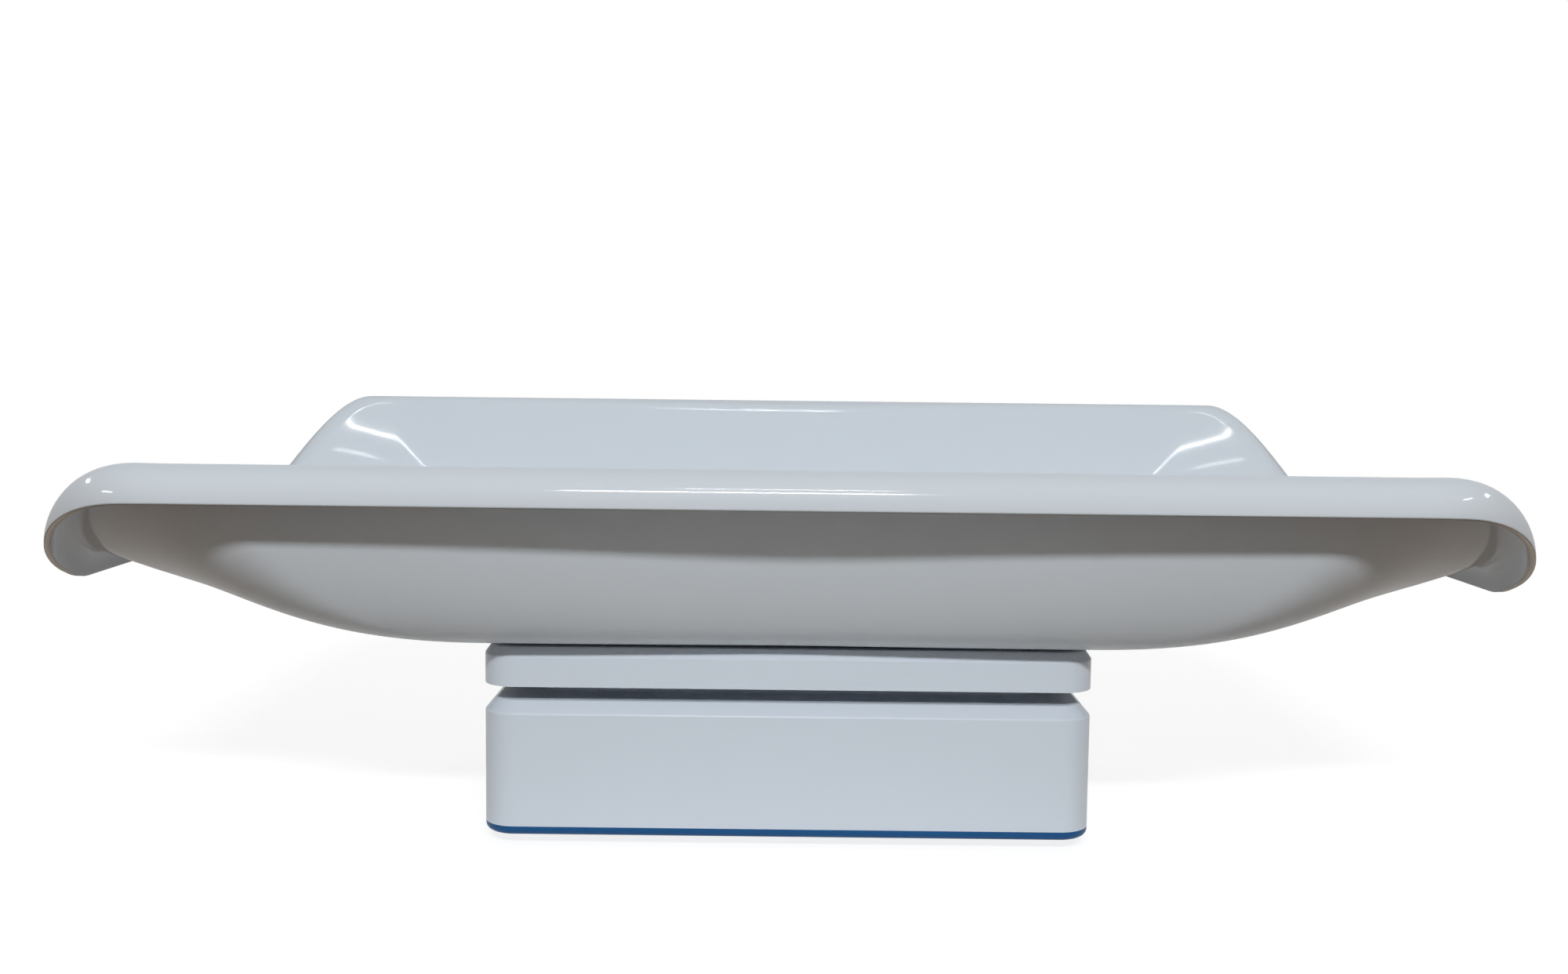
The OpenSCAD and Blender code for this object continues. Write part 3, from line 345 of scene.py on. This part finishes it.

# the bar's fixed end and its free end; sizes in metres
bar = dict(
    fixedAt=(-0.02, 0, 0.027), freeAt=(0.02, 0, 0.027), joinWithin=0.000001,
    slots={"load_cell": "bar_alloy", "gauge_covers": "sealant"},
)


def makeBending(node, b):
    # a copy of the node's loose triangles joined into one skin, shown in place of the node
    mesh = nodes[node].data.copy()
    solid = bmesh.new()
    solid.from_mesh(mesh)
    bmesh.ops.remove_doubles(solid, verts=solid.verts, dist=b["joinWithin"])
    solid.to_mesh(mesh)
    solid.free()
    obj = bpy.data.objects.new(node + "_bending", mesh)
    bpy.context.scene.collection.objects.link(obj)
    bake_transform(obj)
    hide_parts(node)
    return obj


for name in bar["slots"]:
    print("bending:", name, "faces", len(makeBending(name, bar).data.polygons))

# the number on the display, in mm; dotBack is the share of a pitch that a point gives back
display = dict(
    centreX=22, centreZ=30, faceY=101.5, thick=0.12, digitWidth=10.5, digitHeight=19, stroke=2.2,
    pitch=15.5, slant=0.1, text="0.000", gap=0.35, dot=2.4, dotBack=0.55,
)

# segments of each digit: a top, b and c right, d bottom, e and f left
segmentsOf = {"0": "abcdef"}


def slab(outline, y0, y1):
    # closed prism along Y over a flat outline of (x, z), counted clockwise seen from +Y
    n = len(outline)
    flat = np.array(outline, float)
    near = np.stack([flat[:, 0], np.full(n, y0), flat[:, 1]], -1)
    far = np.stack([flat[:, 0], np.full(n, y1), flat[:, 1]], -1)
    i = np.arange(n)
    sides = np.stack([i, (i + 1) % n, n + (i + 1) % n, n + i], -1)
    return np.concatenate([near, far]), sides, [i[::-1], n + i]


def joinSlabs(parts):
    # the points, quads and end faces of several slabs, numbered through
    points, quads, loops, base = [], [], [], 0
    for p, q, c in parts:
        points.append(p)
        quads.append(q + base)
        loops += [loop + base for loop in c]
        base += len(p)
    return np.concatenate(points), np.concatenate(quads), loops


def segmentOutline(d, name):
    # a bar with two pointed tips, counted clockwise: lying for a and d, upright for the rest
    w, h, s, g = d["digitWidth"] / 2, d["digitHeight"] / 2, d["stroke"] / 2, d["gap"]
    if name in "ad":
        z = h - s if name == "a" else s - h
        x, tip = w - s - g, s / 2
        return [
            (-x - tip, z), (-x + tip, z + s), (x - tip, z + s),
            (x + tip, z), (x - tip, z - s), (-x + tip, z - s),
        ]
    x = w - s if name in "bc" else s - w
    z0, z1 = (g, h - s - g) if name in "bf" else (s + g - h, -g)
    tip = s / 4
    return [
        (x, z0 - tip), (x - s, z0 + s - tip), (x - s, z1 - s + tip),
        (x, z1 + tip), (x + s, z1 - s + tip), (x + s, z0 + s - tip),
    ]


def makeDigits(d):
    # the number is read from behind the scale, so it runs towards -X
    parts = []
    x = (len(d["text"]) - 1) * d["pitch"] / 2
    for sign in d["text"]:
        if sign == ".":
            z = -d["digitHeight"] / 2
            left, right = x + (d["pitch"] - d["dot"]) / 2, x + (d["pitch"] + d["dot"]) / 2
            shapes = [[(left, z), (left, z + d["dot"]), (right, z + d["dot"]), (right, z)]]
            x += d["pitch"] * d["dotBack"]
        else:
            drawn = [segmentOutline(d, segment) for segment in segmentsOf[sign]]
            shapes = [[(-px + x, pz) for px, pz in outline][::-1] for outline in drawn]
        for shape in shapes:
            leant = [(px - d["slant"] * pz + d["centreX"], pz + d["centreZ"]) for px, pz in shape]
            parts.append(slab(leant, d["faceY"], d["faceY"] + d["thick"]))
        x -= d["pitch"]
    points, quads, loops = joinSlabs(parts)
    points = points * mm
    obj = putMesh("display_digits", points, quads, loops, "lcdSegment", "base")
    obj.data.polygons.foreach_set("use_smooth", [False] * len(obj.data.polygons))
    return obj


digits = makeDigits(display)
print("digits: faces", len(digits.data.polygons))

# to the eye the floor is part lit (catch) and part glowing (glow), and plain white farther out;
# to the light it is a pale table top near the housing, darker farther out and at the sides
stage = dict(
    radius=6.0, points=96, catch=0.30, glow=0.84, fadeFrom=0.3, fadeTo=0.95,
    bounceNear=(0.84, 0.81, 0.765), bounceFar=(0.16, 0.125, 0.095), nearReach=0.12, farReach=0.36,
    bounceSide=(0.21, 0.115, 0.052), sideReach=0.16, wideReach=0.4,
)


def seenPlainly(wire):
    # 1 for camera, glossy and transmission rays, 0 for the rays that carry light
    path = wire.tree.nodes.new("ShaderNodeLightPath")
    straight = Wire(wire.tree, path.outputs["Is Camera Ray"])
    glossy = Wire(wire.tree, path.outputs["Is Glossy Ray"])
    through = Wire(wire.tree, path.outputs["Is Transmission Ray"])
    return straight.math("MAXIMUM", straight, glossy.math("MAXIMUM", glossy, through))


def makeFloor(s):
    # a wide disc: white with a soft shadow to the eye, a warm table top to the light
    turn = np.linspace(0, 2 * np.pi, s["points"] + 1)[:-1]
    ring = np.stack([np.cos(turn), np.sin(turn), 0 * turn], -1) * s["radius"]
    mesh = bpy.data.meshes.new("floor")
    mesh.from_pydata(ring.tolist(), [], [list(range(s["points"]))])
    obj = bpy.data.objects.new("floor", mesh)
    bpy.context.scene.collection.objects.link(obj)
    made = bpy.data.materials.new("paleFloor")
    made.use_nodes = True
    tree = made.node_tree
    tree.nodes.clear()
    place = Wire(tree, tree.nodes.new("ShaderNodeTexCoord").outputs["Object"])
    away = place.add("ShaderNodeVectorMath", {0: place}, out="Value", operation="LENGTH")
    lit = place.add("ShaderNodeBsdfDiffuse", {"Color": colour((s["catch"],) * 3)})
    glow = place.add("ShaderNodeEmission", {"Color": colour((1, 1, 1)), "Strength": s["glow"]})
    both = place.add("ShaderNodeAddShader", {0: lit, 1: glow})
    white = place.add("ShaderNodeEmission", {"Color": colour((1, 1, 1)), "Strength": 1.0})
    far = away.smooth(s["fadeFrom"], s["fadeTo"])
    seen = place.add("ShaderNodeMixShader", {0: far, 1: both, 2: white})
    distant = away.smooth(s["nearReach"], s["farReach"])
    tone = distant.pick(colour(s["bounceNear"]), colour(s["bounceFar"]))
    # warmer to the left and right of the object
    aside = place.math("ABSOLUTE", place.add("ShaderNodeSeparateXYZ", {0: place}))
    tone = aside.smooth(s["sideReach"], s["wideReach"]).pick(tone, colour(s["bounceSide"]))
    bounce = place.add("ShaderNodeBsdfDiffuse", {"Color": tone})
    whole = place.add("ShaderNodeMixShader", {0: seenPlainly(place), 1: bounce, 2: seen})
    whole.feed(tree.nodes.new("ShaderNodeOutputMaterial").inputs["Surface"])
    mesh.materials.append(made)


makeFloor(stage)

# lamps stand round the tray: turn to the right of the front, rise above level, in degrees;
# soft ones light it without a reflection, glints show in its gloss alone; the room turns from
# sky to sides as a ray leaves the middle, where above weighs the rise against the turn
light = dict(
    sky=(0.93, 0.965, 1.0), sides=(0.43, 0.315, 0.215), sideFrom=0.35, sideTo=0.9, above=0.7,
    skyStrength=0.27, aim=(0, -0.1, 0.12),
    soft=dict(
        key=dict(turn=2, rise=36.5, away=3.0, size=(1.2, 0.2), watts=59, tint=(0.96, 0.985, 1.0)),
        back=dict(turn=178, rise=25, away=2.2, size=(1.6, 0.9), watts=16, tint=(0.97, 0.985, 1.0)),
    ),
    glint=dict(away=1.8, tint=(1.0, 1.0, 1.0)),
    glints=dict(
        tubeLow=dict(turn=-3, rise=47, size=(0.5, 0.012), watts=14),
        tubeHigh=dict(turn=0, rise=57, size=(0.30, 0.022), watts=3.6),
        paneLeft=dict(turn=-70, rise=17, size=(0.26, 0.07), watts=3.0),
        paneFarLeft=dict(turn=-109, rise=22, size=(0.34, 0.07), watts=3.8),
        paneRight=dict(turn=75, rise=30, size=(0.26, 0.05), watts=2.4),
        paneFarRight=dict(turn=102, rise=26, size=(0.24, 0.07), watts=3.0),
    ),
)


def makeWorld(s):
    # white to the eye, a dim soft room to the light
    world = bpy.data.worlds.new("softRoom")
    bpy.context.scene.world = world
    world.use_nodes = True
    tree = world.node_tree
    tree.nodes.clear()
    # cool in front and behind, dimmer and warmer to the left, to the right and above
    way = Wire(tree, tree.nodes.new("ShaderNodeTexCoord").outputs["Generated"])
    sideways = way.math("ABSOLUTE", way.add("ShaderNodeSeparateXYZ", {0: way}))
    upward = way.add("ShaderNodeSeparateXYZ", {0: way}, out="Z")
    across = way.math("MAXIMUM", sideways, upward * s["above"])
    tone = across.smooth(s["sideFrom"], s["sideTo"]).pick(colour(s["sky"]), colour(s["sides"]))
    room = way.add("ShaderNodeBackground", {"Color": tone, "Strength": s["skyStrength"]})
    white = way.add("ShaderNodeBackground", {"Color": colour((1, 1, 1)), "Strength": 1.0})
    both = way.add("ShaderNodeMixShader", {0: seenPlainly(way), 1: room, 2: white})
    both.feed(tree.nodes.new("ShaderNodeOutputWorld").inputs["Surface"])


def makeLamp(name, s, aim, soft):
    # an area lamp that faces the aim point
    lamp = bpy.data.lights.new(name, "AREA")
    lamp.shape = "RECTANGLE"
    lamp.size, lamp.size_y = s["size"]
    lamp.energy = s["watts"]
    lamp.color = s["tint"]
    obj = bpy.data.objects.new(name, lamp)
    bpy.context.scene.collection.objects.link(obj)
    turn, rise = math.radians(s["turn"]), math.radians(s["rise"])
    level = math.cos(rise)
    back = np.array([math.sin(turn) * level, -math.cos(turn) * level, math.sin(rise)])
    right = np.cross((0, 0, 1), back)
    right = right / np.linalg.norm(right)
    place = np.eye(4)
    place[:3, 0], place[:3, 1], place[:3, 2] = right, np.cross(back, right), back
    place[:3, 3] = np.array(aim) + s["away"] * back
    obj.matrix_world = Matrix(place)
    obj.visible_glossy = not soft
    obj.visible_diffuse = soft


makeWorld(light)
for name, lamp in light["soft"].items():
    makeLamp(name, lamp, light["aim"], True)
for name, lamp in light["glints"].items():
    makeLamp(name, light["glint"] | lamp, light["aim"], False)

# place in mm, turns in degrees, focal length in pixels of the frame, film in mm, clip in metres
shot = dict(
    at=(-2.35, -676.28, 185.41), pitch=4.98, roll=0.65, focal=2000, frameWidth=2000,
    film=36, clipStart=0.01,
)


def makeCamera(s):
    # looks along +Y, pitched down, rolled about its own axis
    pitch, roll = math.radians(s["pitch"]), math.radians(s["roll"])
    look = np.array([0, math.cos(pitch), -math.sin(pitch)])
    right = np.array([1.0, 0, 0])
    up = np.cross(right, look)
    c, n = math.cos(roll), math.sin(roll)
    right, up = c * right + n * up, c * up - n * right
    place = np.eye(4)
    place[:3, 0], place[:3, 1], place[:3, 2] = right, up, -look
    place[:3, 3] = np.array(s["at"]) * mm
    lens = bpy.data.cameras.new("shot")
    lens.sensor_width = s["film"]
    lens.lens = s["focal"] / s["frameWidth"] * s["film"]
    lens.clip_start = s["clipStart"]
    obj = bpy.data.objects.new("shot", lens)
    bpy.context.scene.collection.objects.link(obj)
    obj.matrix_world = Matrix(place)
    bpy.context.scene.camera = obj


makeCamera(shot)
bpy.context.scene.view_settings.view_transform = "Standard"
print("stage, light and camera are in place")
